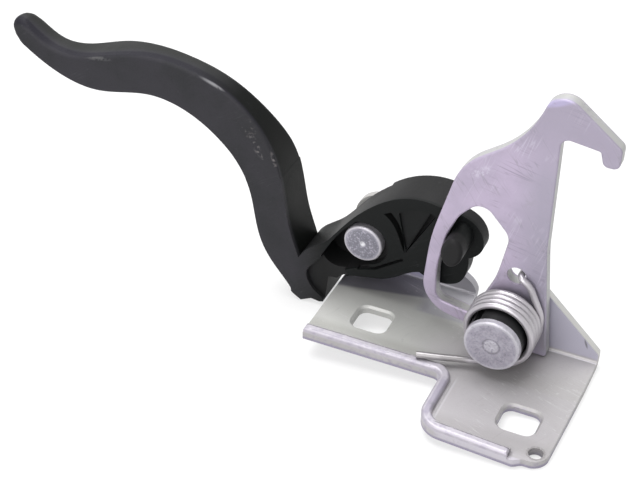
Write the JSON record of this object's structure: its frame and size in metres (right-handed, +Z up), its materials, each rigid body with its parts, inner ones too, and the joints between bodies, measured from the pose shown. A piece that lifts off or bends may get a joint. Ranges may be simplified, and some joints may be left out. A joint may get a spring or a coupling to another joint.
{
  "type": "hood safety catch",
  "caption": "Hood safety catch: bent steel bracket, sprung flat hook and a long moulded release lever whose peg works in the hook's window.",
  "frame": {"origin": "on the base plate's underside, below the middle of the hook's pivot rivet", "axes": "+X from the handle towards the hook, +Y along the pivots away from the spring's side, +Z up out of the base plate"},
  "size_m": [0.1949, 0.067, 0.0964],
  "materials": {
    "bracket_steel": "satin zinc plating",
    "hook_steel": "satin zinc plating",
    "lever_plastic": "semi-matt moulded",
    "rivet_steel": "dull zinc plating",
    "bush_plastic": "matt moulded",
    "spring_steel": "zinc-plated drawn wire"
  },
  "bodies": {
    "bracket_body": {"bracket": "bracket_steel", "lever_rivet": "rivet_steel", "hook_rivet": "rivet_steel", "spring_bush": "bush_plastic", "torsion_spring": "spring_steel"},
    "hook_body": {"catch_hook": "hook_steel"},
    "lever_body": {"release_lever": "lever_plastic"}
  },
  "joints": [
    {"name": "hook_turn", "type": "hinge", "parent": "bracket_body", "child": "hook_body", "pos_m": [0, 0, 0.01465], "axis": [0, 1, 0], "range_deg": [-12, 0], "stiffness_Nm_per_rad": 0.57, "springref_deg": 57.3, "deforming": ["torsion_spring"]},
    {"name": "lever_turn", "type": "hinge", "parent": "bracket_body", "child": "lever_body", "pos_m": [-0.0486, 0, 0.0213], "axis": [0, 1, 0], "range_deg": [-7.6, 0]}
  ],
  "couplings": [
    {"joint": "lever_turn", "follows": "hook_turn", "ratio": 0.63}
  ]
}
